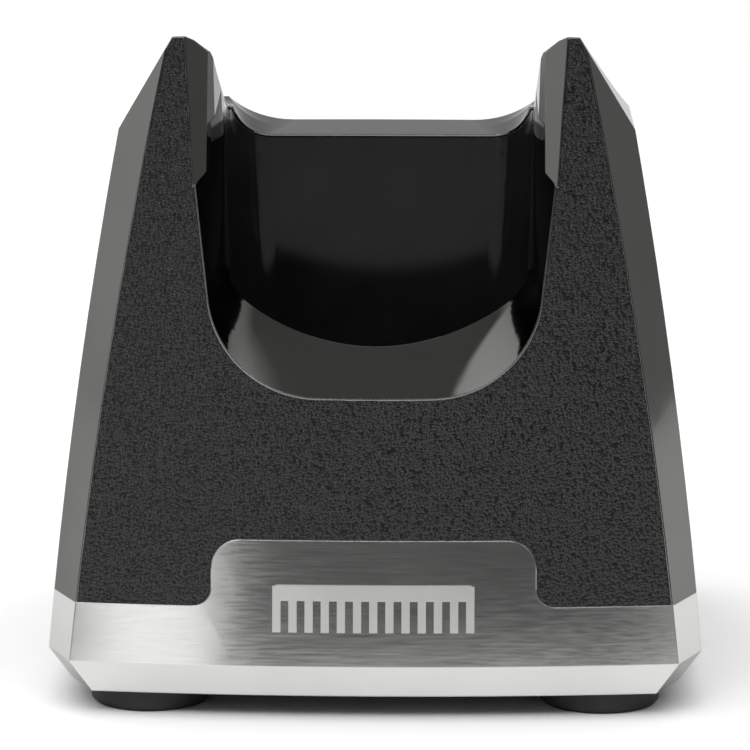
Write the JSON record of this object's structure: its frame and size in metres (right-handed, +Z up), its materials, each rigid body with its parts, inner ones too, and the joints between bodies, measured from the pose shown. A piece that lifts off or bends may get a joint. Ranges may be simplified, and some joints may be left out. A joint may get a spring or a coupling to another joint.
{
  "type": "charging stand for a hair clipper",
  "caption": "Desk-top charging stand for a cordless hair clipper: tapered dark body, U-shaped cradle between two horns, silver base, round feet and sprung contacts.",
  "frame": {"origin": "on the surface the stand rests on, at the centre of its overall box seen from above", "axes": "+X right, -Y towards the open front of the cradle, +Z up"},
  "size_m": [0.1018, 0.093, 0.1032],
  "materials": {
    "silver_metal": "satin, polished",
    "dark_chrome": "gloss, metallised dark chrome",
    "black_grain": "leather-like grain",
    "black_gloss": "gloss",
    "black_matte": "fine texture",
    "emblem_satin": "satin",
    "foot_rubber": "matte",
    "ballast_steel": "zinc plated",
    "screw_steel": "zinc plated",
    "contact_gold": "gold plated",
    "spring_steel": "bright",
    "board_green": "solder mask",
    "component_black": "moulded",
    "connector_white": "moulded",
    "capacitor_sleeve": "sleeve",
    "wire_cover": "smooth"
  },
  "bodies": {
    "stand": {"base_trim": "silver_metal", "body_shell": "dark_chrome", "front_panel": "black_grain", "cradle_liner": "black_gloss", "bottom_cover": "black_matte", "badge_emblem": "emblem_satin", "foot_front_left": "foot_rubber", "foot_front_right": "foot_rubber", "foot_rear_left": "foot_rubber", "foot_rear_right": "foot_rubber", "ballast_plate": "ballast_steel", "ballast_screws": "screw_steel", "board_screws": "screw_steel", "cover_screws": "screw_steel", "liner_screws": "screw_steel", "contact_block_screws": "screw_steel", "contact_block": "component_black", "contact_barrel_left": "contact_gold", "contact_barrel_right": "contact_gold", "contact_spring_left": "spring_steel", "contact_spring_right": "spring_steel", "circuit_board": "board_green", "power_jack_housing": "component_black", "power_jack_pin": "screw_steel", "board_connector": "connector_white", "voltage_regulator": "component_black", "filter_capacitor": "capacitor_sleeve", "contact_wires": "wire_cover"},
    "contact_pin_left": {"contact_pin_left": "contact_gold"},
    "contact_pin_right": {"contact_pin_right": "contact_gold"}
  },
  "joints": [
    {"name": "contact_pin_left_press", "type": "slide", "parent": "stand", "child": "contact_pin_left", "axis": [0, 0, -1], "range_m": [0, 0.0015], "stiffness_N_per_m": 250, "deforming": ["contact_spring_left"]},
    {"name": "contact_pin_right_press", "type": "slide", "parent": "stand", "child": "contact_pin_right", "axis": [0, 0, -1], "range_m": [0, 0.0015], "stiffness_N_per_m": 250, "deforming": ["contact_spring_right"]}
  ]
}
